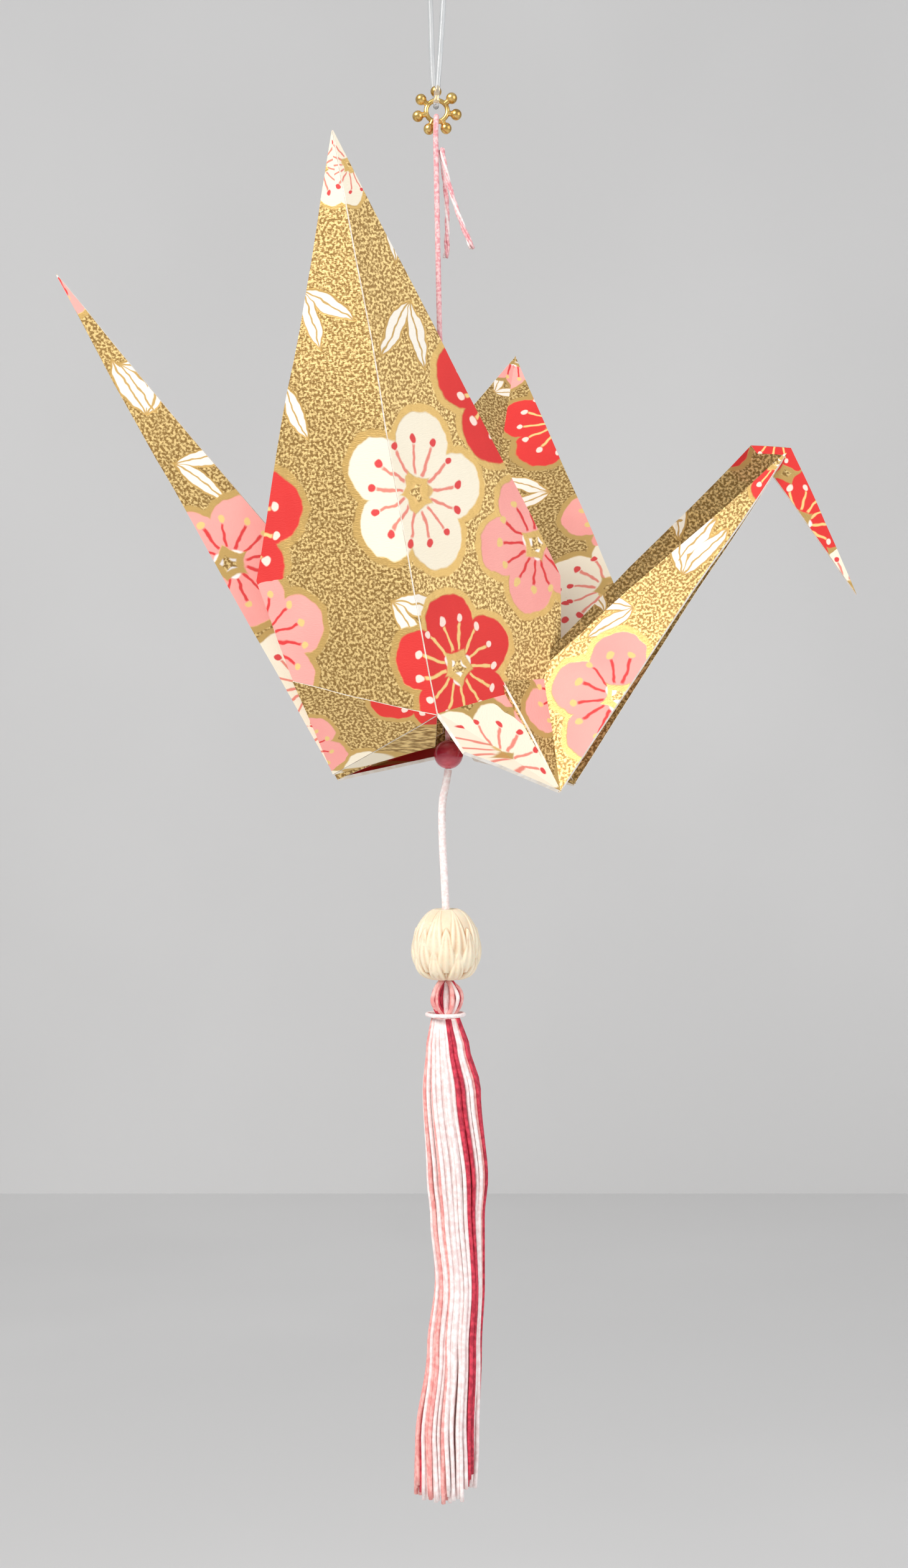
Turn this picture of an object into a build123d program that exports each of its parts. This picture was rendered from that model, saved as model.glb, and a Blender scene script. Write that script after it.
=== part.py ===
"""Hanging ornament: an origami crane on a cord, with a spacer ring above it and two beads and a tassel below.

Millimetres, +Z up, +X towards the crane's head, +Y away from the near wing.
The origin is the top of the clear line's hanging loop, and everything hangs below it.
"""
from build123d import *
from math import cos, pi, radians, sin, tan
import os

os.makedirs("parts", exist_ok=True)

# ---------------------------------------------------------------- driving dimensions
sheet = 150.0                 # side of the square sheet that the crane is folded from
wing_ply = 0.30               # two layers of washi in a wing
body_ply = 0.45               # layers in a body wall, the tail and the neck
flap_ply = 0.25               # the narrowing flaps that lie on the outside of the body

ring_drop = 23.85             # centre of the spacer ring below the origin
keel_drop = 102.0             # crane's keel point, where its bottom edges cross, below the origin
red_bead_drop = 104.3         # centre of the small bead
lotus_drop = 128.0            # centre of the carved bead
skirt_drop = 137.3            # top of the tassel's skirt
skirt_length = 59.9           # from there to the cut ends

line_d = 0.70                 # clear hanging line
cord_d = 0.66                 # single pink cord
twist_d = 0.95                # doubled and twisted cord under the small bead
cord_clearance = 0.12         # round a cord, in each bead's hole
paper_clearance = 0.40        # round the cord, where it pierces the sheet

rim_radius = 1.33             # spacer ring: centre line of its round rim
rim_d = 0.60
ball_d = 1.40
ball_circle_radius = 2.45
ball_count = 7
ball_first_angle = 92.4       # degrees from +X, seen from the front
ball_neck_d = 0.70

red_bead_d = 3.66
lotus_d = 9.35
lotus_height = 8.80
lotus_petals = 6
knot_d = 1.55
tassel_head_width = 4.75
tassel_head_height = 4.55
head_waist_d = 3.40
tie_d = 0.50

# crane's pose: each wing leans out from the upright, sways along the body and is creased along its middle
near_lean, near_sway = 1.1, -10.1
near_crease_tail, near_crease_head = 23.2, 38.2
far_lean, far_sway = 32.5, 8.0
far_crease_tail, far_crease_head = 28.0, 14.0
tail_angle, tail_swing = 40.3, 0.0        # from the upright towards -X, and towards +Y
neck_angle, neck_swing = 44.1, 6.5        # from the upright towards +X, and towards +Y
beak_angle, beak_swing = 143.6, 3.0       # as the neck's, so it points down past the horizontal

# ---------------------------------------------------------------- the flat fold, as shares of the sheet
wing_tip_height = 0.5                     # wing tip above the keel line
half_tip = 22.5                           # degrees, half the wing tip's angle
narrow_tilt = 11.25                       # degrees, the narrowing fold's slope
narrow_band = 0.0875                      # along that fold, from the wing's edge to the hump's edge
pocket_height = 0.0412                    # where the narrowing flaps' corners meet on the middle line
leg_length = 0.5                          # tail, and neck with beak, along the sheet's diagonal
neck_share = 0.35                         # keel to the top of the head
beak_share = 0.157
beak_width = 0.0343

keel = Vector(0.75, 0, -keel_drop)


def at(x, y, z):
    """A point of the crane, in shares of the sheet from the keel point."""
    return keel + Vector(x, y, z) * sheet


def heading(angle, swing, side):
    """Unit direction at an angle from the upright: side -1 is the tail's way, +1 the head's."""
    a, s = radians(angle), radians(swing)
    return Vector(side * sin(a) * cos(s), sin(s), cos(a) * cos(s)).normalized()


def turned(v, axis, angle):
    """v turned about axis by angle degrees."""
    k, a = axis.normalized(), radians(angle)
    return v * cos(a) + k.cross(v) * sin(a) + k * (k.dot(v) * (1 - cos(a)))


def fold_page(pocket, lean, sway, crease_tail, crease_head, edge_tail, edge_head, pocket_share, side):
    """Corners of one wing with the body wall under it. side is -1 for the near page, +1 for the far one."""
    a, b = radians(lean), radians(sway)
    up = Vector(sin(b) * cos(a), side * sin(a), cos(b) * cos(a))
    along = Vector(0, 1, 0).cross(up).normalized()
    across = {"tail": turned(along, up, side * crease_tail), "head": turned(along, up, -side * crease_head)}
    corners = {"tip": pocket + up * (wing_tip_height - pocket_share) * sheet, "pocket": pocket}
    for end, way, edge in (("tail", -1, edge_tail), ("head", 1, edge_head)):
        rim_x = way * edge * sin(radians(half_tip))
        rim_z = wing_tip_height - edge * cos(radians(half_tip)) - pocket_share
        shoulder_x = rim_x - way * narrow_band * sin(radians(narrow_tilt))
        shoulder_z = rim_z - narrow_band * cos(radians(narrow_tilt))
        corners["rim_" + end] = pocket + (across[end] * rim_x + up * rim_z) * sheet
        corners["shoulder_" + end] = pocket + (across[end] * shoulder_x + up * shoulder_z) * sheet
    return corners


# pages: how far along the wing's edge, from its tip, the narrowing fold starts at each end
near = fold_page(at(-0.004, -0.069, 0.0155), near_lean, near_sway, near_crease_tail, near_crease_head,
                 0.364, 0.405, 0.028, -1)
far = fold_page(at(0.016, 0.071, 0.000), far_lean, far_sway, far_crease_tail, far_crease_head,
                0.351, 0.351, pocket_height, 1)

# the body's lower corners: feet under the tail and the neck, and the walls' corners at the keel
near["foot_tail"] = at(-0.0927, 0.0067, -0.0307)
near["foot_head"] = at(0.0953, -0.0427, -0.0460)
near["keel_tail"] = at(-0.0067, -0.0353, -0.0087)
near["keel_head"] = at(0.0167, -0.0893, -0.0160)
far["foot_tail"] = at(-0.0900, 0.0330, -0.0355)
far["foot_head"] = at(0.1087, -0.0160, -0.0400)
far["keel_tail"] = at(0.0000, 0.0430, -0.0160)
far["keel_head"] = at(0.0260, 0.0400, -0.0190)

# spines: the hump over the body, and where tail and neck turn up between the walls
hump = at(0.0017, -0.002, 0.140)
root_tail = at(0.0000, 0.0, 0.0027)
root_head = at(0.0195, 0.0, -0.0013)
tail_tip = root_tail + heading(tail_angle, tail_swing, -1) * leg_length * sheet
head_top = root_head + heading(neck_angle, neck_swing, 1) * neck_share * sheet
head_front = head_top + Vector(beak_width, 0, -0.0020) * sheet
beak_tip = head_top + heading(beak_angle, beak_swing, 1) * beak_share * sheet

# the cord runs straight from the ring's knot to the small bead
knot_place = Vector(-0.15, -0.60, -27.9)
red_bead_place = Vector(1.46, 0.0, -red_bead_drop)
lotus_place = Vector(1.19, 0.0, -lotus_drop)
ring_place = Vector(0, 0, -ring_drop)


# ---------------------------------------------------------------- helpers
def panel(corners, ply, stand_off=0.0):
    """A flat panel of folded paper, ply thick about its corners' plane, moved stand_off along its normal."""
    base = Plane(origin=corners[0], x_dir=corners[1] - corners[0],
                 z_dir=(corners[1] - corners[0]).cross(corners[2] - corners[0]))
    outline = [base.to_local_coords(corner) for corner in corners]
    with BuildPart() as plate:
        with BuildSketch(base.offset(stand_off)):
            with BuildLine():
                Polyline(*[(point.X, point.Y) for point in outline], close=True)
            make_face()
        extrude(amount=ply / 2, both=True)
    return plate.part


def cord_radii(points, share=0.45):
    """The largest radius that each corner of a cord's route has room for."""
    radii = []
    for before, corner, after in zip(points, points[1:], points[2:]):
        shorter = min((corner - before).length, (after - corner).length)
        turn = radians((corner - before).get_angle(after - corner))
        radii.append(share * shorter / tan(turn / 2))
    return radii


def cord_tube(name, points, diameter, radii=None):
    """A round tube along straight runs joined by tangent arcs."""
    route = [Vector(*p) for p in points]
    chosen = radii or cord_radii(route)
    with BuildLine() as path:
        if len(route) > 2:
            FilletPolyline(*route, radius=chosen)
        else:
            Line(*route)
    centre = path.wire()
    with BuildSketch(Plane(origin=centre @ 0, z_dir=centre % 0)) as section:
        Circle(diameter / 2)
    tube = sweep(section.sketch, path=centre)
    expected = pi * diameter ** 2 / 4 * centre.length
    print(name, "length %.1f" % centre.length, "radii", [round(r, 2) for r in chosen],
          "volume share %.4f" % (tube.volume / expected))
    return tube


# ---------------------------------------------------------------- routes of the cords
loop_route = [
    (-0.10, -0.28, -23.20), (-0.05, -1.15, -22.90), (0.25, -1.18, -19.60), (0.87, -0.85, -10.00),
    (1.20, -0.30, -0.35), (-1.20, 0.30, -0.35), (-0.80, 0.85, -10.00), (-0.55, 1.20, -19.60),
    (-0.15, 1.15, -22.90), (-0.10, 0.28, -23.20),
]
loop_radii = [0.55, 40.0, 60.0, 1.05, 1.05, 60.0, 40.0, 0.55]
upper_route = [
    (-0.05, 0.12, -24.48), (-0.07, -0.95, -25.00), (-0.10, -0.98, -26.20),
    tuple(knot_place), (1.46, 0.0, -106.10),
]
upper_radii = [0.45, 1.6, 8.0]
lower_route = [
    (1.43, 0.0, -106.20), (1.17, -0.15, -108.00), (0.63, -0.05, -110.20), (0.67, 0.05, -114.80),
    (0.97, 0.0, -120.20), (1.19, 0.0, -125.20), (1.19, 0.10, -131.00), (1.15, 0.0, -137.20),
]
tail_ends = {
    "long": [(0.67, -0.80, -28.75), (1.15, -1.00, -32.60), (2.35, -0.70, -36.60), (4.45, -0.60, -41.20)],
    "short": [(0.40, 0.05, -28.75), (1.25, 0.65, -33.00), (1.50, 0.80, -37.40), (1.15, 0.70, -42.00)],
}

# ---------------------------------------------------------------- paper crane
with BuildPart() as paper_crane:
    for page, side in ((near, -1), (far, 1)):
        for end in ("tail", "head"):
            rim, shoulder = page["rim_" + end], page["shoulder_" + end]
            foot, corner = page["foot_" + end], page["keel_" + end]
            root = root_tail if end == "tail" else root_head
            outward = side if end == "head" else -side
            add(panel([page["tip"], rim, shoulder, page["pocket"]], wing_ply))
            add(panel([page["pocket"], rim, shoulder], flap_ply, outward * -(wing_ply + flap_ply) / 2))
            add(panel([page["pocket"], shoulder, foot], body_ply))
            add(panel([page["pocket"], foot, corner], body_ply))
            add(panel([hump, shoulder, foot], body_ply))
            add(panel([hump, foot, root], body_ply))
        add(panel([hump, page["shoulder_tail"], page["shoulder_head"]], wing_ply))
        add(panel([root_tail, page["foot_tail"], tail_tip], body_ply))
        add(panel([root_head, page["foot_head"], head_front], body_ply))
        add(panel([root_head, head_front, head_top], body_ply))
    add(panel([head_top, head_front, beak_tip], 2 * body_ply))
    with BuildSketch(Plane(origin=knot_place, z_dir=red_bead_place - knot_place)):
        Circle(cord_d / 2 + paper_clearance)
    extrude(amount=(red_bead_place - knot_place).length, mode=Mode.SUBTRACT)
paper_crane.part.label = "paper_crane"

# ---------------------------------------------------------------- spacer ring
with BuildPart() as spacer_ring:
    face_on = Plane(origin=ring_place, x_dir=(1, 0, 0), z_dir=(0, -1, 0))
    with Locations(face_on):
        Torus(rim_radius, rim_d / 2)
    for index in range(ball_count):
        angle = radians(ball_first_angle + index * 360 / ball_count)
        out = Vector(cos(angle), 0, sin(angle))
        with Locations(ring_place + out * ball_circle_radius):
            Sphere(ball_d / 2)
        with BuildSketch(Plane(origin=ring_place + out * rim_radius, z_dir=out)):
            Circle(ball_neck_d / 2)
        extrude(amount=ball_circle_radius - rim_radius)
    with BuildSketch(face_on):
        Circle(rim_radius - rim_d / 2 + 0.02)
    extrude(amount=ball_d, both=True, mode=Mode.SUBTRACT)
spacer_ring.part.label = "spacer_ring"

# ---------------------------------------------------------------- beads
with BuildPart() as red_bead:
    with Locations(red_bead_place):
        Sphere(red_bead_d / 2)
        Cylinder(cord_d / 2 + cord_clearance, red_bead_d, mode=Mode.SUBTRACT)
red_bead.part.label = "red_bead"

with BuildPart() as lotus_bead:
    with BuildSketch(Plane(origin=lotus_place, x_dir=(1, 0, 0), z_dir=(0, -1, 0))):
        with BuildLine():
            hole_x = twist_d / 2 + 2 * cord_clearance
            end_z = lotus_height / 2
            Polyline((hole_x, end_z - 0.6), (hole_x, -end_z + 0.3), (1.9, -end_z))
            Spline((1.9, -end_z), (lotus_d / 2, -0.35), (2.3, end_z),
                   tangents=((1.0, 0.15), (-0.62, 0.55)))
            Line((2.3, end_z), (hole_x, end_z - 0.6))
        make_face()
    revolve(axis=Axis(lotus_place, (0, 0, 1)))
lotus_bead.part.label = "lotus_bead"

# ---------------------------------------------------------------- tassel
with BuildPart() as tassel_head:
    head_place = Vector(lotus_place.X - 0.10, 0, -(lotus_drop + lotus_height / 2 + tassel_head_height / 2))
    half_height = tassel_head_height / 2
    with BuildSketch(Plane(origin=head_place, x_dir=(1, 0, 0), z_dir=(0, -1, 0))):
        with BuildLine():
            hole_x = twist_d / 2 + 2 * cord_clearance
            Polyline((hole_x, -half_height), (hole_x, half_height), (hole_x + 0.9, half_height))
            Spline((hole_x + 0.9, half_height), (tassel_head_width / 2, 0.3), (head_waist_d / 2, -half_height),
                   tangents=((1.0, -0.3), (-0.1, -1.0)))
            Line((head_waist_d / 2, -half_height), (hole_x, -half_height))
        make_face()
    revolve(axis=Axis(head_place, (0, 0, 1)))
tassel_head.part.label = "tassel_head"

# the skirt's cross sections: share of its length, sideways shift, width
skirt_sections = ((0.0, 0.0, 3.3), (0.05, 0.25, 5.2), (0.15, 0.75, 7.4), (0.33, 1.45, 7.9), (0.41, 1.45, 6.9),
                  (0.55, 1.80, 6.1), (0.69, 1.10, 6.7), (0.88, 0.10, 8.1), (1.0, -0.05, 7.9))
skirt_flatness = 0.80
with BuildPart() as tassel_skirt:
    for share, shift, width in skirt_sections:
        section_place = Vector(head_place.X + shift, 0, -(skirt_drop + share * skirt_length))
        with BuildSketch(Plane(origin=section_place)):
            Ellipse(width / 2, width / 2 * skirt_flatness)
    loft(ruled=True)
tassel_skirt.part.label = "tassel_skirt"

with BuildPart() as tassel_tie:
    tie_place = Vector(head_place.X, 0, -skirt_drop + tie_d)
    with Locations(Plane(origin=tie_place)):
        Torus(head_waist_d / 2 + tie_d / 2 + 0.35, tie_d / 2)
tassel_tie.part.label = "tassel_tie"

# ---------------------------------------------------------------- cords
with BuildPart() as hang_loop:
    add(cord_tube("hang_loop", loop_route, line_d, loop_radii))
hang_loop.part.label = "hang_loop"

with BuildPart() as upper_cord:
    add(cord_tube("upper_cord", upper_route, cord_d, upper_radii))
    with Locations(knot_place):
        Sphere(knot_d / 2)
upper_cord.part.label = "upper_cord"

with BuildPart() as lower_cord:
    add(cord_tube("lower_cord", lower_route, twist_d))
    with Locations(Vector(*lower_route[0]) - Vector(0, 0, knot_d / 2)):
        Sphere(knot_d / 2)
lower_cord.part.label = "lower_cord"

with BuildPart() as cord_tails:
    for which, route in tail_ends.items():
        add(cord_tube("cord_tail_" + which, route, cord_d))
cord_tails.part.label = "cord_tails"

# ---------------------------------------------------------------- files
pieces = (hang_loop, spacer_ring, upper_cord, cord_tails, paper_crane, red_bead, lower_cord, lotus_bead,
          tassel_head, tassel_tie, tassel_skirt)
for piece in pieces:
    export_step(piece.part, "parts/" + piece.part.label + ".step")
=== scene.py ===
"""Looks of the hanging origami crane: printed washi, cords, ring, beads and tassel.

Metres, in the CAD part's frame. Lengths written in millimetres are multiplied by mm.
"""
import random
from math import cos, floor, pi, radians, sin, sqrt

import bpy
from mathutils import Matrix, Vector, noise


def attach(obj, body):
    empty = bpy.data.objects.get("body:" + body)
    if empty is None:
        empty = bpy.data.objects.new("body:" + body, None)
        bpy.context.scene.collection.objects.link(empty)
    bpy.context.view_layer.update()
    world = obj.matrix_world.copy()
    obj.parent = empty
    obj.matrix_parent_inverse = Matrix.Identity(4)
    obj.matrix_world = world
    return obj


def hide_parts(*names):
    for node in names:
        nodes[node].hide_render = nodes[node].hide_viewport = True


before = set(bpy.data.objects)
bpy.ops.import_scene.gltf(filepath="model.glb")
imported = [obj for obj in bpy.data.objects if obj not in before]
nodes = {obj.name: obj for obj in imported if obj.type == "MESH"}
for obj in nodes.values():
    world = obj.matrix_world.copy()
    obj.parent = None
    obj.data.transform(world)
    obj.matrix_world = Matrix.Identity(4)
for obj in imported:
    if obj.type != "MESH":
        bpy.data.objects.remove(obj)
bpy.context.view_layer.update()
scene = bpy.context.scene
mm = 0.001

# ---------------------------------------------------------------- camera
camera_data = bpy.data.cameras.new("camera")
camera_data.sensor_fit = "VERTICAL"
camera_data.sensor_height = 24
camera_data.lens = 31.21
camera_data.clip_start = 0.01
camera = bpy.data.objects.new("camera", camera_data)
camera.location = (0.00215, -0.255, -0.108)
camera.rotation_euler = (radians(90), 0, 0)
scene.collection.objects.link(camera)
scene.camera = camera
scene.view_settings.view_transform = "Standard"


# ---------------------------------------------------------------- node helpers
class Shader:
    """A material's node tree, with short ways to add maths to it."""

    def __init__(self, name, roughness=0.5):
        self.material = bpy.data.materials.new(name)
        self.material.use_nodes = True
        self.tree = self.material.node_tree
        self.surface = self.tree.nodes["Principled BSDF"]
        self.surface.inputs["Roughness"].default_value = roughness

    def add(self, kind, **settings):
        node = self.tree.nodes.new(kind)
        for key, value in settings.items():
            setattr(node, key, value)
        return node

    def feed(self, socket, value):
        if isinstance(value, bpy.types.NodeSocket):
            self.tree.links.new(value, socket)
        else:
            socket.default_value = value

    def math(self, operation, *values, clamp=False):
        node = self.add("ShaderNodeMath", operation=operation, use_clamp=clamp)
        for socket, value in zip(node.inputs, values):
            self.feed(socket, value)
        return node.outputs[0]

    def vector(self, operation, *values, out="Vector"):
        node = self.add("ShaderNodeVectorMath", operation=operation)
        for socket, value in zip(node.inputs, values):
            self.feed(socket, value)
        return node.outputs[out]

    def split(self, vector):
        node = self.add("ShaderNodeSeparateXYZ")
        self.feed(node.inputs[0], vector)
        return node.outputs[0], node.outputs[1], node.outputs[2]

    def join(self, x, y, z=0.0):
        node = self.add("ShaderNodeCombineXYZ")
        for socket, value in zip(node.inputs, (x, y, z)):
            self.feed(socket, value)
        return node.outputs[0]

    def mix(self, factor, a, b, kind="RGBA"):
        node = self.add("ShaderNodeMix", data_type=kind)
        start = {"RGBA": 6, "VECTOR": 4, "FLOAT": 2}[kind]
        self.feed(node.inputs[0], factor)
        self.feed(node.inputs[start], a)
        self.feed(node.inputs[start + 1], b)
        return node.outputs[{"RGBA": 2, "VECTOR": 1, "FLOAT": 0}[kind]]

    def noise(self, vector, scale, detail=3.0, out="Fac"):
        node = self.add("ShaderNodeTexNoise")
        self.feed(node.inputs["Vector"], vector)
        node.inputs["Scale"].default_value = scale
        node.inputs["Detail"].default_value = detail
        return node.outputs[out]

    def place(self, kind="Object"):
        return self.add("ShaderNodeTexCoord").outputs[kind]

    def step(self, value, low, high):
        """0 below low, 1 above high, smooth between."""
        node = self.add("ShaderNodeMapRange", interpolation_type="SMOOTHSTEP")
        self.feed(node.inputs[0], value)
        node.inputs[1].default_value = low
        node.inputs[2].default_value = high
        return node.outputs[0]

    def bump(self, height, distance, strength=1.0):
        node = self.add("ShaderNodeBump")
        node.inputs["Strength"].default_value = strength
        node.inputs["Distance"].default_value = distance
        self.feed(node.inputs["Height"], height)
        self.feed(self.surface.inputs["Normal"], node.outputs[0])

    def paint(self, **values):
        for key, value in values.items():
            self.feed(self.surface.inputs[key.replace("_", " ")], value)
        return self.material


def mottled(name, dark, light, roughness, scale, metal=0.0, bump=0.00003, stretch=(1, 1, 1), **more):
    """A material whose colour wanders between two tones, with a fine surface grain."""
    shader = Shader(name, roughness)
    place = shader.vector("MULTIPLY", shader.place(), stretch)
    grain = shader.noise(place, scale)
    shader.paint(Base_Color=shader.mix(shader.step(grain, 0.35, 0.65), dark, light), Metallic=metal, **more)
    shader.bump(grain, bump)
    return shader.material


# ---------------------------------------------------------------- printed washi
RED, CREAM, PINK = 0.0, 1.0, 2.0
# blossoms of the print, in shares of the flat sheet from its middle: x, y, radius, turn in degrees, colour
blossoms = (
    (-0.018, -0.682, 0.036, 10, CREAM), (-0.144, -0.562, 0.062, 30, PINK), (-0.157, -0.422, 0.074, 5, RED),
    (-0.292, -0.399, 0.064, 50, CREAM), (0.010, -0.680, 0.034, 40, CREAM), (0.149, -0.606, 0.062, 12, PINK),
    (0.126, -0.495, 0.070, 22, RED), (0.238, -0.443, 0.084, 0, CREAM), (0.133, -0.362, 0.060, 33, PINK),
    (0.350, -0.385, 0.050, 15, PINK), (-0.143, -0.322, 0.060, 12, PINK), (-0.171, -0.215, 0.052, 44, RED),
    (-0.263, -0.113, 0.052, 25, CREAM), (-0.190, -0.082, 0.045, 60, PINK),
    (0.228, -0.151, 0.060, 30, CREAM), (0.137, -0.124, 0.058, 0, PINK), (-0.715, 0.004, 0.050, 20, PINK),
    (-0.425, -0.045, 0.062, 15, PINK), (-0.300, -0.062, 0.056, 35, CREAM), (0.560, -0.026, 0.040, 8, RED),
    (0.318, -0.075, 0.060, 28, PINK), (0.630, 0.005, 0.046, 50, RED), (0.700, 0.004, 0.042, 0, CREAM),
    (0.026, 0.604, 0.062, 18, RED), (0.056, 0.478, 0.060, 40, PINK), (0.125, 0.415, 0.062, 5, CREAM),
    (0.001, 0.700, 0.042, 25, PINK), (-0.060, 0.530, 0.060, 0, CREAM), (-0.110, 0.400, 0.066, 33, RED),
    (0.000, 0.350, 0.062, 10, PINK), (0.077, 0.098, 0.062, 40, RED), (0.160, 0.140, 0.060, 12, PINK),
    (-0.077, 0.098, 0.062, 22, CREAM), (-0.170, 0.130, 0.062, 5, RED), (0.000, -0.060, 0.060, 30, PINK),
    (0.020, -0.420, 0.066, 0, CREAM), (0.030, -0.280, 0.060, 18, RED), (-0.060, -0.180, 0.062, 33, CREAM),
    (0.280, 0.330, 0.070, 12, RED), (-0.280, 0.330, 0.070, 12, PINK), (0.200, 0.450, 0.062, 40, CREAM),
    (-0.190, 0.480, 0.062, 0, RED),
)
# pairs of leaves between them: x, y, length, direction in degrees
leaves = (
    (-0.051, -0.590, 0.050, 60), (-0.082, -0.520, 0.050, 100), (0.042, -0.640, 0.040, 70),
    (0.045, -0.570, 0.056, 110), (0.275, -0.378, 0.045, 30), (-0.615, -0.006, 0.052, 20),
    (-0.565, -0.016, 0.056, 150), (-0.520, -0.026, 0.050, 40), (0.490, -0.022, 0.050, 160),
    (0.432, -0.038, 0.056, 25), (0.384, -0.030, 0.048, 140), (0.155, -0.304, 0.052, 30),
    (0.176, -0.258, 0.048, 120), (-0.030, 0.652, 0.040, 80), (0.090, 0.545, 0.050, 40),
    (-0.010, 0.420, 0.050, 0), (0.020, 0.180, 0.056, 70), (-0.020, -0.340, 0.056, 40),
)


# a blossom's parts, in shares of its radius, and a leaf's, in shares of half its length and in degrees
petal_count, petal_centre, petal_radius = 5, 0.58, 0.44
stamen_count, end_dot_place = 13, 0.64
middle_dot_count, middle_dot_place = 3, 0.15
leaf_half_width, leaf_spread = 0.30, 24


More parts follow.
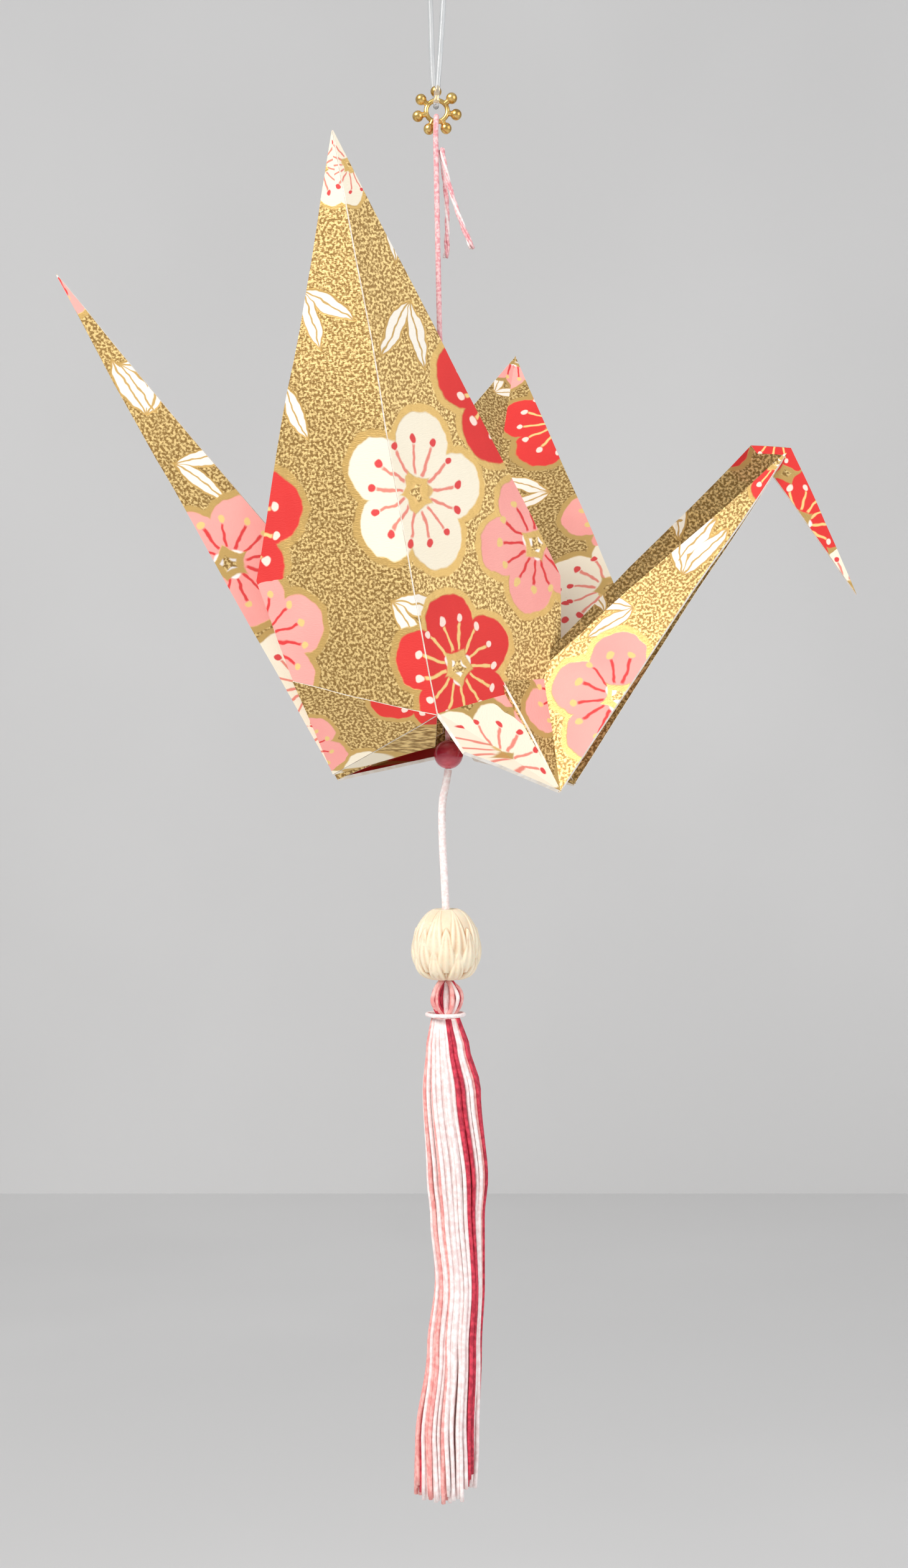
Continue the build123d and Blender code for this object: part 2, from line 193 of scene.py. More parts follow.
def washi(name):
    """The print: five-petalled blossoms with stamens, and pairs of leaves, on a glittering gold ground."""
    s = Shader(name, 0.5)
    uv = s.place("UV")
    wobble = s.vector("SUBTRACT", s.noise(uv, 60.0, 2.0, "Color"), (0.5, 0.5, 0.5))
    p = s.vector("MULTIPLY_ADD", wobble, (0.008, 0.008, 0.0), uv)
    nearest, local, kind = 9.0, (9.0, 9.0, 0.0), (0.0, 0.0, 0.0)
    for x, y, radius, turn, colour in blossoms:
        here = s.vector("MULTIPLY_ADD", p, (1 / radius, 1 / radius, 0.0), (-x / radius, -y / radius, 0.0))
        far = s.vector("LENGTH", here, out="Value")
        wins = s.math("LESS_THAN", far, nearest)
        local = s.mix(wins, local, here, "VECTOR")
        kind = s.mix(wins, kind, (colour, radians(turn), 0.0), "VECTOR")
        nearest = s.math("MINIMUM", nearest, far)
    x, y, _ = s.split(local)
    colour, turn, _ = s.split(kind)
    angle = s.math("ADD", s.math("ARCTAN2", y, x), turn)
    # distance to the nearest of five round petals
    lobe = s.math("PINGPONG", s.math("ADD", angle, 4 * pi), pi / petal_count)
    along = s.math("MULTIPLY", nearest, s.math("COSINE", lobe))
    across = s.math("MULTIPLY", nearest, s.math("SINE", lobe))
    petal_place = s.join(s.math("SUBTRACT", along, petal_centre), across)
    petal = s.math("SUBTRACT", s.vector("LENGTH", petal_place, out="Value"), petal_radius)
    inside = s.math("SUBTRACT", 1.0, s.step(petal, -0.015, 0.015))
    outline = s.math("SUBTRACT", 1.0, s.step(s.math("ABSOLUTE", petal), 0.03, 0.06))
    # stamens, with a dot at each one's end and three dots round the middle
    spoke = s.math("PINGPONG", s.math("ADD", angle, 4 * pi), pi / stamen_count)
    side = s.math("MULTIPLY", nearest, s.math("SINE", spoke))
    short_of_dots = s.math("SUBTRACT", 1.0, s.step(nearest, 0.56, 0.60))
    reach = s.math("MULTIPLY", s.step(nearest, 0.20, 0.24), short_of_dots)
    thread = s.math("MULTIPLY", reach, s.math("SUBTRACT", 1.0, s.step(side, 0.010, 0.030)))
    end = s.vector("LENGTH", s.join(s.math("SUBTRACT", nearest, end_dot_place), side), out="Value")
    end_dot = s.math("SUBTRACT", 1.0, s.step(end, 0.040, 0.058))
    third = s.math("PINGPONG", s.math("ADD", angle, 4 * pi), pi / middle_dot_count)
    third_along = s.math("SUBTRACT", s.math("MULTIPLY", nearest, s.math("COSINE", third)), middle_dot_place)
    third_across = s.math("MULTIPLY", nearest, s.math("SINE", third))
    middle = s.vector("LENGTH", s.join(third_along, third_across), out="Value")
    middle_dot = s.math("SUBTRACT", 1.0, s.step(middle, 0.07, 0.10))
    # colours by kind of blossom
    is_red = s.math("LESS_THAN", colour, 0.5)
    is_cream = s.math("COMPARE", colour, 1.0, 0.4)

    def three(red, cream, pink):
        return s.mix(is_red, s.mix(is_cream, pink, cream), red)

    shade = s.noise(p, 14.0)
    red_tone = s.mix(shade, (0.62, 0.012, 0.014, 1), (0.80, 0.035, 0.025, 1))
    cream_tone = s.mix(shade, (0.86, 0.76, 0.58, 1), (0.93, 0.86, 0.70, 1))
    pink_tone = s.mix(shade, (0.86, 0.29, 0.27, 1), (0.93, 0.44, 0.38, 1))
    petal_tone = three(red_tone, cream_tone, pink_tone)
    gold = s.mix(s.step(s.noise(uv, 420.0, 2.0), 0.42, 0.62), (0.30, 0.17, 0.045, 1), (0.86, 0.62, 0.26, 1))
    stamen = three((0.86, 0.60, 0.22, 1), (0.80, 0.24, 0.18, 1), (0.70, 0.03, 0.03, 1))
    dots = three((0.93, 0.72, 0.62, 1), (0.72, 0.05, 0.05, 1), (0.80, 0.55, 0.20, 1))
    core = three((0.95, 0.90, 0.85, 1), (0.70, 0.45, 0.16, 1), (0.95, 0.88, 0.84, 1))
    # leaves on the ground
    leaf_near, leaf_vein = 9.0, 9.0
    for x0, y0, length, way in leaves:
        for side_way in (-leaf_spread, leaf_spread):
            a = radians(way + side_way)
            shift = s.vector("SUBTRACT", p, (x0 + 0.5 * length * cos(a), y0 + 0.5 * length * sin(a), 0.0))
            u = s.vector("DOT_PRODUCT", shift, (cos(a) * 2 / length, sin(a) * 2 / length, 0.0), out="Value")
            v = s.vector("DOT_PRODUCT", shift, (-sin(a) * 2 / length, cos(a) * 2 / length, 0.0), out="Value")
            v = s.math("ABSOLUTE", v)
            belly = s.math("SUBTRACT", 1.0, s.math("MULTIPLY", u, u))
            shape = s.math("SUBTRACT", v, s.math("MULTIPLY", leaf_half_width, belly))
            vein = s.math("ADD", v, s.math("MULTIPLY", 9.0, s.math("GREATER_THAN", shape, 0.0)))
            leaf_near = s.math("MINIMUM", leaf_near, shape)
            leaf_vein = s.math("MINIMUM", leaf_vein, vein)
    leaf_in = s.math("SUBTRACT", 1.0, s.step(leaf_near, -0.02, 0.02))
    leaf_edge = s.math("SUBTRACT", 1.0, s.step(s.math("ABSOLUTE", leaf_near), 0.02, 0.05))
    vein_in = s.math("SUBTRACT", 1.0, s.step(leaf_vein, 0.015, 0.04))
    colour_out = s.mix(leaf_in, gold, (0.90, 0.84, 0.74, 1))
    colour_out = s.mix(s.math("MAXIMUM", leaf_edge, vein_in), colour_out, (0.55, 0.34, 0.10, 1))
    colour_out = s.mix(inside, colour_out, petal_tone)
    colour_out = s.mix(s.math("MULTIPLY", thread, inside), colour_out, stamen)
    colour_out = s.mix(s.math("MULTIPLY", end_dot, inside), colour_out, dots)
    colour_out = s.mix(middle_dot, colour_out, core)
    colour_out = s.mix(outline, colour_out, (0.62, 0.40, 0.13, 1))
    is_gold = s.math("MULTIPLY", s.math("SUBTRACT", 1.0, inside), s.math("SUBTRACT", 1.0, leaf_in))
    is_gold = s.math("MAXIMUM", is_gold, outline)
    fibres = s.noise(s.vector("MULTIPLY", uv, (1.0, 4.0, 1.0)), 260.0, 4.0)
    s.bump(s.math("ADD", fibres, s.math("MULTIPLY", is_gold, 0.5)), 0.00006, 0.6)
    return s.paint(Base_Color=colour_out, Metallic=s.math("MULTIPLY", is_gold, 0.55),
                   Roughness=s.mix(is_gold, 0.62, 0.36, "FLOAT"))


print_material = washi("washi_print")
paper_edge = mottled("paper_edge", (0.80, 0.72, 0.62, 1), (0.92, 0.88, 0.82, 1), 0.8, 900.0)
gold_metal = mottled("gold_metal", (0.55, 0.33, 0.09, 1), (0.86, 0.60, 0.22, 1), 0.28, 700.0, metal=1.0)
red_glaze = mottled("red_glaze", (0.50, 0.02, 0.05, 1), (0.74, 0.10, 0.13, 1), 0.16, 260.0, bump=0.000004,
                    stretch=(1, 1, 2.5), Coat_Weight=0.8)
cord_pink = mottled("cord_pink", (0.78, 0.30, 0.33, 1), (0.93, 0.62, 0.62, 1), 0.75, 2400.0, bump=0.00008)
cord_pale = mottled("cord_pale", (0.86, 0.70, 0.68, 1), (0.96, 0.90, 0.88, 1), 0.75, 2400.0, bump=0.00008)
thread_red = mottled("thread_red", (0.42, 0.015, 0.04, 1), (0.72, 0.05, 0.09, 1), 0.7, 1500.0, bump=0.00006)
thread_pink = mottled("thread_pink", (0.82, 0.30, 0.28, 1), (0.95, 0.50, 0.46, 1), 0.7, 1500.0, bump=0.00006)
thread_pale = mottled("thread_pale", (0.88, 0.70, 0.68, 1), (0.97, 0.88, 0.86, 1), 0.7, 1500.0, bump=0.00006)
clear = mottled("clear_nylon", (0.90, 0.92, 0.93, 1), (0.97, 0.98, 0.98, 1), 0.12, 300.0, bump=0.000002,
                Transmission_Weight=0.85, IOR=1.5)


# ---------------------------------------------------------------- mesh helpers
def mesh_piece(name, vertices, faces, materials, uvs=None, picks=None, smooth=True):
    data = bpy.data.meshes.new(name)
    data.from_pydata(vertices, [], faces)
    for material in materials:
        data.materials.append(material)
    if picks:
        data.polygons.foreach_set("material_index", picks)
    if uvs:
        layer = data.uv_layers.new(name="print")
        for loop, uv in zip(layer.data, uvs):
            loop.uv = uv
    data.polygons.foreach_set("use_smooth", [smooth] * len(data.polygons))
    data.update()
    piece = bpy.data.objects.new(name, data)
    scene.collection.objects.link(piece)
    return piece


def nurbs(name, points, thickness, material):
    """A curve with one open NURBS spline through a cord's route, in metres."""
    data = bpy.data.curves.new(name, "CURVE")
    data.dimensions = "3D"
    spline = data.splines.new("NURBS")
    spline.points.add(len(points) - 1)
    for point, place in zip(spline.points, points):
        point.co = (place[0] * mm, place[1] * mm, place[2] * mm, 1)
    spline.order_u = 3
    spline.use_endpoint_u = True
    data.resolution_u = 16
    data.bevel_depth = thickness / 2 * mm
    data.bevel_resolution = 4
    data.use_fill_caps = True
    data.materials.append(material)
    piece = bpy.data.objects.new(name, data)
    scene.collection.objects.link(piece)
    return piece


def tube(points, radii, sides=8):
    """Vertices and faces of a closed tube about a list of points."""
    vertices, faces = [], []
    normal = None
    for index, point in enumerate(points):
        ahead = points[min(index + 1, len(points) - 1)] - points[max(index - 1, 0)]
        ahead.normalize()
        if normal is None:
            normal = ahead.orthogonal().normalized()
        normal = (normal - ahead * normal.dot(ahead)).normalized()
        other = ahead.cross(normal)
        for k in range(sides):
            a = 2 * pi * k / sides
            vertices.append(point + (normal * cos(a) + other * sin(a)) * radii[index])
    for ring in range(len(points) - 1):
        for k in range(sides):
            a, b = ring * sides + k, ring * sides + (k + 1) % sides
            faces.append((a, b, b + sides, a + sides))
    faces.append(tuple(range(sides))[::-1])
    faces.append(tuple(range(len(vertices) - sides, len(vertices))))
    return vertices, faces


def tubes_piece(name, strands, materials):
    """One piece from many tubes: strands is a list of (points, radii, which material)."""
    vertices, faces, picks = [], [], []
    for points, radii, which in strands:
        more, rings = tube(points, radii)
        start = len(vertices)
        vertices += more
        faces += [tuple(v + start for v in ring) for ring in rings]
        picks += [which] * len(rings)
    return mesh_piece(name, vertices, faces, materials, picks=picks)


# ---------------------------------------------------------------- cords
loop_points = [(-0.10, -0.28, -23.20), (-0.05, -1.15, -22.90), (0.25, -1.18, -19.60), (0.87, -0.85, -10.00),
               (1.20, -0.30, -0.35), (-1.20, 0.30, -0.35), (-0.80, 0.85, -10.00), (-0.55, 1.20, -19.60),
               (-0.15, 1.15, -22.90), (-0.10, 0.28, -23.20)]
upper_points = [(-0.05, 0.12, -24.48), (-0.07, -0.95, -25.00), (-0.10, -0.98, -26.20), (-0.15, -0.60, -27.9),
                (1.46, 0.0, -106.10)]
lower_points = [(1.43, 0.0, -106.20), (1.17, -0.15, -108.00), (0.63, -0.05, -110.20), (0.67, 0.05, -114.80),
                (0.97, 0.0, -120.20), (1.19, 0.0, -125.20), (1.19, 0.10, -131.00), (1.15, 0.0, -137.20)]
tail_points = (((0.67, -0.80, -28.75), (1.15, -1.00, -32.60), (2.35, -0.70, -36.60), (4.45, -0.60, -41.20)),
               ((0.40, 0.05, -28.75), (1.25, 0.65, -33.00), (1.50, 0.80, -37.40), (1.15, 0.70, -42.00)))

loop = nurbs("clear_loop", loop_points, 0.70, clear)
upper = nurbs("pink_cord", upper_points, 0.66, cord_pink)
lower = nurbs("twisted_cord", lower_points, 0.95, cord_pale)
for piece, points, node, slot, width, length in (
        (loop, loop_points, "hang_loop", "clear_line", 0.70, 0.0484),
        (upper, upper_points, "upper_cord", "pink_cord", 0.66, 0.0823),
        (lower, lower_points, "lower_cord", "pink_cord", 0.95, 0.0311)):
    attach(piece, "root")
    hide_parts(node)


def bezier(points, count):
    """Points along a smooth curve pulled by its corners (de Casteljau)."""
    found = []
    for index in range(count):
        t = index / (count - 1)
        layer = [Vector(p) * mm for p in points]
        while len(layer) > 1:
            layer = [a.lerp(b, t) for a, b in zip(layer, layer[1:])]
        found.append(layer[0])
    return found


tails = []
for which, points in enumerate(tail_points):
    centre = bezier(points, 24)
    for strand in range(3):
        wound = []
        for index, place in enumerate(centre):
            t = index / 23
            a = 2 * pi * (strand / 3 + 2.2 * t)
            spread = (0.16 + 0.35 * max(0.0, t - 0.72)) * mm
            wound.append(place + Vector((cos(a) * spread, sin(a) * spread, 0)))
        tails.append((wound, [0.17 * mm] * 24, strand % 2))
tail_piece = tubes_piece("frayed_tails", tails, [cord_pink, cord_pale])
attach(tail_piece, "root")
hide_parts("cord_tails")

# ---------------------------------------------------------------- the crane's folded sheet
sheet = 150.0
wing_ply, body_ply, flap_ply = 0.30, 0.45, 0.25
near_pose = (1.1, -10.1, 23.2, 38.2)
far_pose = (32.5, 8.0, 28.0, 14.0)
half_tip, narrow_tilt, narrow_band = 22.5, 11.25, 0.0875
pocket_height, wing_tip_height = 0.0412, 0.5
keel = Vector((0.75, 0, -102.0))


def at(x, y, z):
    """A point of the crane, in shares of the sheet from the keel point."""
    return keel + Vector((x, y, z)) * sheet


def heading(angle, swing, side):
    """Unit direction at an angle from the upright: side -1 is the tail's way, +1 the head's."""
    a, b = radians(angle), radians(swing)
    return Vector((side * sin(a) * cos(b), sin(b), cos(a) * cos(b))).normalized()


def turned(v, axis, angle):
    """v turned about axis by angle degrees."""
    return Matrix.Rotation(radians(angle), 3, axis.normalized()) @ v


def fold_page(pocket, pose, edge_tail, edge_head, pocket_share, side):
    """Corners of one wing, and its rims' and shoulders' places on the flat page. side is -1 for near."""
    lean, sway, crease_tail, crease_head = pose
    a, b = radians(lean), radians(sway)
    up = Vector((sin(b) * cos(a), side * sin(a), cos(b) * cos(a)))
    along = Vector((0, 1, 0)).cross(up).normalized()
    across = {"tail": turned(along, up, side * crease_tail), "head": turned(along, up, -side * crease_head)}
    corners = {"tip": pocket + up * (wing_tip_height - pocket_share) * sheet, "pocket": pocket}
    for end, way, edge in (("tail", -1, edge_tail), ("head", 1, edge_head)):
        rim_x = way * edge * sin(radians(half_tip))
        rim_z = wing_tip_height - edge * cos(radians(half_tip)) - pocket_share
        shoulder_x = rim_x - way * narrow_band * sin(radians(narrow_tilt))
        shoulder_z = rim_z - narrow_band * cos(radians(narrow_tilt))
        corners["rim_" + end] = pocket + (across[end] * rim_x + up * rim_z) * sheet
        corners["shoulder_" + end] = pocket + (across[end] * shoulder_x + up * shoulder_z) * sheet
        corners["page_" + end] = ((rim_x, rim_z + pocket_share), (shoulder_x, shoulder_z + pocket_share))
    return corners


near = fold_page(at(-0.004, -0.069, 0.0155), near_pose, 0.364, 0.405, 0.028, -1)
far = fold_page(at(0.016, 0.071, 0.0), far_pose, 0.351, 0.351, pocket_height, 1)
near.update(foot_tail=at(-0.0927, 0.0067, -0.0307), foot_head=at(0.0953, -0.0427, -0.0460),
            keel_tail=at(-0.0067, -0.0353, -0.0087), keel_head=at(0.0167, -0.0893, -0.0160))
far.update(foot_tail=at(-0.0900, 0.0330, -0.0355), foot_head=at(0.1087, -0.0160, -0.0400),
           keel_tail=at(0.0, 0.0430, -0.0160), keel_head=at(0.0260, 0.0400, -0.0190))
hump = at(0.0017, -0.002, 0.140)
root = {"tail": at(0.0, 0.0, 0.0027), "head": at(0.0195, 0.0, -0.0013)}
tail_tip = root["tail"] + heading(40.3, 0.0, -1) * 0.5 * sheet
head_top = root["head"] + heading(44.1, 6.5, 1) * 0.35 * sheet
head_front = head_top + Vector((0.0343, 0, -0.0020)) * sheet
beak_tip = head_top + heading(143.6, 3.0, 1) * 0.157 * sheet

crane = {"vertices": [], "faces": [], "uvs": [], "picks": []}
noise.seed_set(5)   # without it the sheet's waviness differs from run to run


def crumple(place):
    """The sheet's slight waviness, the same for every layer at one place."""
    return place + noise.noise_vector(place * 0.055) * 0.35 + noise.noise_vector(place * 0.21) * 0.07


def panel(corners, outer, inner, ply, stand_off=0.0, steps=14):
    """One flat part of the fold: corners in mm, with their places on the sheet for the two faces."""
    normal = (corners[1] - corners[0]).cross(corners[2] - corners[0]).normalized()
    for last in range(2, len(corners)):
        three = (0, last - 1, last)
        for side, uv in ((1, outer), (-1, inner)):
            index = {}
            for i in range(steps + 1):
                for j in range(steps + 1 - i):
                    k = steps - i - j
                    share = (k / steps, i / steps, j / steps)
                    place = sum((corners[c] * w for c, w in zip(three, share)), Vector())
                    place = crumple(place) + normal * (stand_off + side * ply / 2)
                    index[i, j] = (len(crane["vertices"]), tuple(
                        sum(uv[c][axis] * w for c, w in zip(three, share)) for axis in (0, 1)))
                    crane["vertices"].append(place * mm)
            for i in range(steps):
                for j in range(steps - i):
                    cells = [((i, j), (i + 1, j), (i, j + 1))]
                    if i + j < steps - 1:
                        cells.append(((i + 1, j), (i + 1, j + 1), (i, j + 1)))
                    for cell in cells:
                        ring = cell if side > 0 else cell[::-1]
                        crane["faces"].append(tuple(index[c][0] for c in ring))
                        crane["uvs"] += [index[c][1] for c in ring]
                        crane["picks"].append(0)
            if side > 0:
                top = index
            else:
                bottom = index
        walks = [[(i, 0) for i in range(steps + 1)], [(steps - j, j) for j in range(steps + 1)],
                 [(0, j) for j in range(steps, -1, -1)]]
        shown = [last == 2, True, last == len(corners) - 1]
        for walk, wanted in zip(walks, shown):
            if wanted:
                for a, b in zip(walk, walk[1:]):
                    crane["faces"].append((top[b][0], top[a][0], bottom[a][0], bottom[b][0]))
                    crane["uvs"] += [top[b][1], top[a][1], bottom[a][1], bottom[b][1]]
                    crane["picks"].append(1)


def slit_layer(way, side, x, z):
    """Place on the sheet of a point on the wing layer whose middle line is the sheet's edge."""
    low = 1 - z / 0.5
    return (way * (0.3536 * low) - way * 0.7071 * abs(x), side * (0.7071 - 0.3536 * low - 0.7071 * abs(x)))


def whole_layer(side, x, z):
    """Place on the sheet of a point on the wing layer that is whole from edge to edge."""
    return (x, side * (0.2071 + z))


for page, side in ((near, -1), (far, 1)):
    for end, way in (("tail", -1), ("head", 1)):
        (rim_x, rim_z), (shoulder_x, shoulder_z) = page["page_" + end]
        rim, shoulder = page["rim_" + end], page["shoulder_" + end]
        foot, corner = page["foot_" + end], page["keel_" + end]
        facing = side if end == "head" else -side
        spots = ((0, 0.5), (rim_x, rim_z), (shoulder_x, shoulder_z), (0, pocket_height))
        slit_print = [slit_layer(way, side, *spot) for spot in spots]
        whole_print = [whole_layer(side, *spot) for spot in spots]
        flap = [(way * 0.2071, side * 0.2071), (way * 0.1344, side * 0.3827), (way * 0.1173, side * 0.2969)]
        wall = [(way * 0.2071, side * 0.2071), (way * 0.1173, side * 0.1173), (way * 0.2278, side * 0.0955)]
        base = [(way * 0.2071, side * 0.2071), (way * 0.2278, side * 0.0955), (way * 0.2071, side * 0.150)]
        core = [(0, 0), (way * 0.1173, side * 0.1173), (way * 0.2278, side * 0.0955)]
        spine = [(0, 0), (way * 0.2278, side * 0.0955), (way * 0.2071, 0)]

        def both(corners, body_uv, open_uv, ply, stand_off=0.0):
            """A panel whose face towards the body takes body_uv, and whose other face takes open_uv."""
            if facing < 0:
                panel(corners, body_uv, open_uv, ply, stand_off)
            else:
                panel(corners, open_uv, body_uv, ply, stand_off)

        both([page["tip"], rim, shoulder, page["pocket"]], slit_print, whole_print, wing_ply)
        both([page["pocket"], rim, shoulder], flap, flap, flap_ply, facing * -(wing_ply + flap_ply) / 2)
        both([page["pocket"], shoulder, foot], wall, wall, body_ply)
        both([page["pocket"], foot, corner], base, base, body_ply)
        both([hump, shoulder, foot], core, core, body_ply)
        both([hump, foot, root[end]], spine, spine, body_ply)
    panel([hump, page["shoulder_tail"], page["shoulder_head"]],
          *[[(0, 0), (-0.1173, side * 0.1173), (0.1173, side * 0.1173)]] * 2, wing_ply)
    limb = [(-0.2071, 0), (-0.2278, side * 0.0955), (-0.7071, 0)]
    panel([root["tail"], page["foot_tail"], tail_tip], limb, limb, body_ply)
    limb = [(0.2071, 0), (0.2278, side * 0.0955), (0.5777, side * 0.0257)]
    panel([root["head"], page["foot_head"], head_front], limb, limb, body_ply)
    limb = [(0.2071, 0), (0.5777, side * 0.0257), (0.5571, 0)]
    panel([root["head"], head_front, head_top], limb, limb, body_ply)
limb = [(0.5571, 0), (0.5777, -0.0257), (0.7071, 0)]
panel([head_top, head_front, beak_tip], limb, limb, 2 * body_ply)

crane_piece = mesh_piece("folded_crane", crane["vertices"], crane["faces"], [print_material, paper_edge],
                         uvs=crane["uvs"], picks=crane["picks"], smooth=False)
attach(crane_piece, "root")
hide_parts("paper_crane")

# ---------------------------------------------------------------- lotus bead
lotus_centre = Vector((1.19, 0, -128.0))
lotus_top, lotus_bottom, lotus_radius = 4.4, -4.4, 4.675
petal_depth, lotus_hole, lotus_lip = 0.75, 0.72, 1.2


def petal_rise(angle, height):
    """How far the carving stands out: three tiers of pointed, ribbed petals."""
    rise = 0.0
    for foot_z, tip_z, count, shift, lift in ((-1.2, 4.6, 8, 0.0, 0.30), (-3.4, 2.1, 8, 0.5, 0.55),
                                              (-4.6, -0.7, 8, 0.0, 0.85)):
        t = (height - foot_z) / (tip_z - foot_z)
        if 0.0 <= t <= 1.0:
            turn = angle * count / (2 * pi) + shift
            off = abs(turn - floor(turn) - 0.5) * 2
            wide = (1 - t) ** 0.55
            gap = off / max(wide, 1e-3)
            if gap < 1.0:
                dome = (1 - gap ** 4) * (0.45 + 0.55 * sin(pi * min(1.0, t + 0.25)))
                rib = 0.10 * cos(gap * 3 * pi) * (1 - t)
                rise = max(rise, lift * dome + rib)
    return rise


rows, columns = 90, 256
vertices, faces = [], []
for row in range(rows + 1):
    height = lotus_bottom + (lotus_top - lotus_bottom) * row / rows
    share = height / 4.6
    body = (lotus_radius - petal_depth) * sqrt(max(0.0, 1 - share * share)) ** 0.8
    body = max(body, lotus_lip)
    for column in range(columns):
        angle = 2 * pi * column / columns
        radius = body + petal_rise(angle, height) * min(1.0, body / 2.2)
        vertices.append((lotus_centre + Vector((cos(angle) * radius, sin(angle) * radius, height))) * mm)
for row in range(rows):
    for column in range(columns):
        a, b = row * columns + column, row * columns + (column + 1) % columns
        faces.append((a, b, b + columns, a + columns))
# the hole: an inner wall joined to both ends
hole = len(vertices)
for height in (lotus_bottom + 0.3, lotus_top - 0.6):
    for column in range(columns):
        angle = 2 * pi * column / columns
        place = Vector((cos(angle) * lotus_hole, sin(angle) * lotus_hole, height))
        vertices.append((lotus_centre + place) * mm)
for column in range(columns):
    after = (column + 1) % columns
    top = rows * columns
    faces.append((hole + column, hole + after, after, column))
    faces.append((top + column, top + after, hole + columns + after, hole + columns + column))
    faces.append((hole + columns + column, hole + columns + after, hole + after, hole + column))
s = Shader("carved_ivory", 0.45)
pointiness = s.add("ShaderNodeNewGeometry").outputs["Pointiness"]
# the carving's hollows, where pointiness is low, are mixed towards dark brown in patches set by noise
hollow = s.math("SUBTRACT", 1.0, s.step(pointiness, 0.44, 0.53))
hollow_dark = s.math("MULTIPLY", hollow, s.step(s.noise(s.place(), 400.0), 0.25, 0.7))
ivory = s.mix(s.noise(s.place(), 300.0), (0.86, 0.72, 0.50, 1), (0.93, 0.84, 0.66, 1))
s.bump(s.noise(s.place(), 1600.0), 0.00003)
s.paint(Base_Color=s.mix(hollow_dark, ivory, (0.55, 0.24, 0.07, 1)), Subsurface_Weight=0.15, Subsurface_Scale=0.001)
lotus = mesh_piece("lotus_carving", vertices, faces, [s.material])
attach(lotus, "root")
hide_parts("lotus_bead")

# ---------------------------------------------------------------- tassel
rand = random.Random(7)
head_x = 1.09
head_half_height = 2.275
head_z = lotus_centre.z - 4.4 - head_half_height
skirt_drop, skirt_length, skirt_flatness = 137.3, 59.9, 0.8
thread_count, thread_steps, thread_radius = 150, 40, 0.26
bundle = []
for k in range(26):
    side = -1 if k % 2 else 1
    lean = rand.uniform(0.25, 1.0) * side
    depth = rand.uniform(-1.0, 1.0)
    swell = sqrt(max(0.1, 1 - depth * depth * 0.6))
    points = []
    for index in range(15):
        t = index / 14
        out = sin(pi * min(1.0, t * 1.02)) ** 0.8
        points.append(Vector((head_x + lean * (0.35 + 1.75 * out * swell), depth * (0.45 + 1.35 * out),
                              head_z + 2.2 - 4.7 * t + 0.15 * sin(7 * t + k))) * mm)
    which = rand.choice((0, 0, 1, 2)) if side < 0 else rand.choice((1, 1, 2, 0))
    bundle.append((points, [0.27 * mm] * 15, which))
head_piece = tubes_piece("tassel_loops", bundle, [thread_red, thread_pink, thread_pale])
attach(head_piece, "root")
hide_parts("tassel_head")

skirt_sections = ((0.0, 0.0, 3.3), (0.05, 0.25, 5.2), (0.15, 0.75, 7.4), (0.33, 1.45, 7.9), (0.41, 1.45, 6.9),
                  (0.55, 1.80, 6.1), (0.69, 1.10, 6.7), (0.88, 0.10, 8.1), (1.0, -0.05, 7.9))


def skirt_at(t):
    """Sideways shift and width of the skirt at a share of its length."""
    for (t0, shift0, width0), (t1, shift1, width1) in zip(skirt_sections, skirt_sections[1:]):
        if t <= t1:
            f = (t - t0) / (t1 - t0)
            f = f * f * (3 - 2 * f)
            return shift0 + (shift1 - shift0) * f, width0 + (width1 - width0) * f
    return skirt_sections[-1][1:]


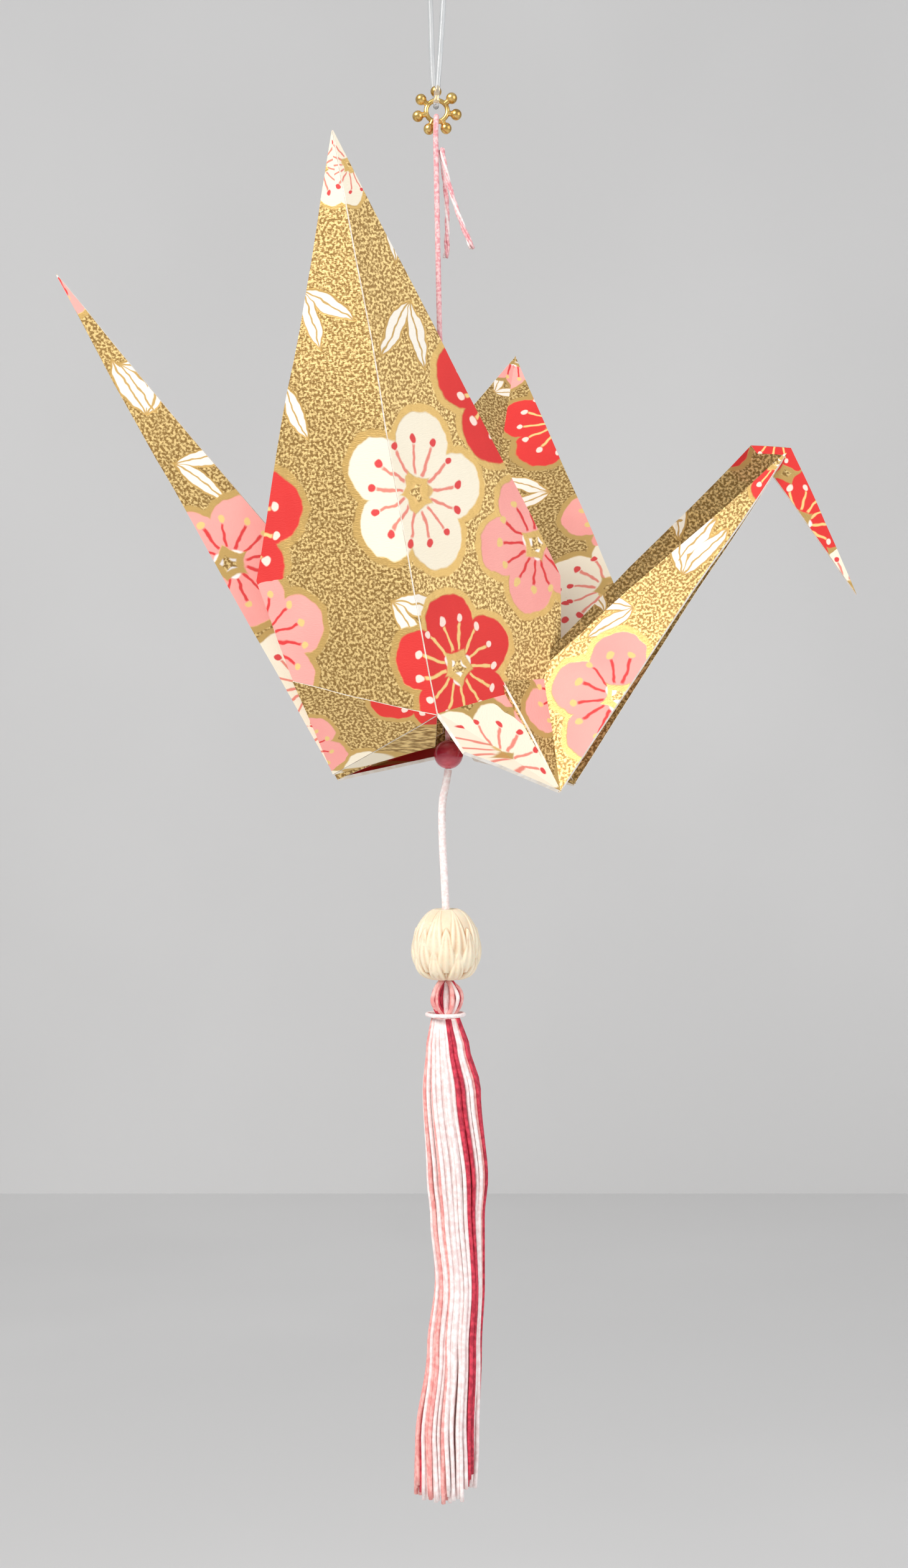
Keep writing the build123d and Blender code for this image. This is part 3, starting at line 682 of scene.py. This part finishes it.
strands = []
for k in range(thread_count):
    radius = sqrt((k + 0.5) / thread_count) * 0.95
    angle = k * 2.39996
    cut = 1.0 - rand.uniform(0.0, 0.035) - (0.02 if cos(angle) > 0 else 0.0)
    phase, wander = rand.uniform(0, 2 * pi), rand.uniform(0.05, 0.22)
    points = []
    for index in range(thread_steps):
        t = index / (thread_steps - 1) * cut
        shift, width = skirt_at(t)
        a = angle + 0.9 * t
        points.append(Vector((head_x + shift + radius * width / 2 * cos(a) + wander * sin(phase + 9 * t) * t,
                              radius * width / 2 * skirt_flatness * sin(a) + wander * cos(phase + 11 * t) * t,
                              -(skirt_drop + skirt_length * t))) * mm)
    shade = (noise.noise(Vector((cos(angle), sin(angle), 0)) * 1.7) + rand.uniform(-0.35, 0.35))
    which = 0 if shade < -0.28 else 2 if shade > 0.22 else 1
    strands.append((points, [thread_radius * mm] * thread_steps, which))
skirt_piece = tubes_piece("tassel_strands", strands, [thread_red, thread_pink, thread_pale])
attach(skirt_piece, "root")
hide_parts("tassel_skirt")

# ---------------------------------------------------------------- carried-over nodes
for name, material in (("spacer_ring", gold_metal), ("red_bead", red_glaze), ("tassel_tie", cord_pale)):
    data = nodes[name].data
    data.materials.clear()
    data.materials.append(material)
    data.polygons.foreach_set("use_smooth", [True] * len(data.polygons))

# ---------------------------------------------------------------- backdrop, floor and light
backdrop = mottled("backdrop", (0.78, 0.77, 0.76, 1), (0.82, 0.81, 0.80, 1), 0.9, 3.0, bump=0.0)
for name, corners in (("floor", ((-2, -2, -0.34), (2, -2, -0.34), (2, 2, -0.34), (-2, 2, -0.34))),
                      ("wall", ((-2, 0.9, -0.34), (2, 0.9, -0.34), (2, 0.9, 2), (-2, 0.9, 2)))):
    piece = mesh_piece(name, corners, [(0, 1, 2, 3)], [backdrop], smooth=False)

world = bpy.data.worlds.new("world")
world.use_nodes = True
world.node_tree.nodes["Background"].inputs[0].default_value = (0.95, 0.97, 1.0, 1)
world.node_tree.nodes["Background"].inputs[1].default_value = 0.55
scene.world = world


def lamp(name, place, aim, size, power, colour):
    data = bpy.data.lights.new(name, "AREA")
    data.size = size
    data.energy = power
    data.color = colour
    piece = bpy.data.objects.new(name, data)
    piece.location = place
    piece.rotation_euler = (Vector(aim) - Vector(place)).to_track_quat("-Z", "Y").to_euler()
    scene.collection.objects.link(piece)


lamp("key", (-0.35, -0.45, 0.30), (0, 0, -0.1), 0.35, 4.2, (1.0, 0.98, 0.95))
lamp("fill", (0.55, -0.35, 0.05), (0, 0, -0.1), 0.5, 1.6, (0.95, 0.97, 1.0))

# ---------------------------------------------------------------- the end
bpy.context.view_layer.update()
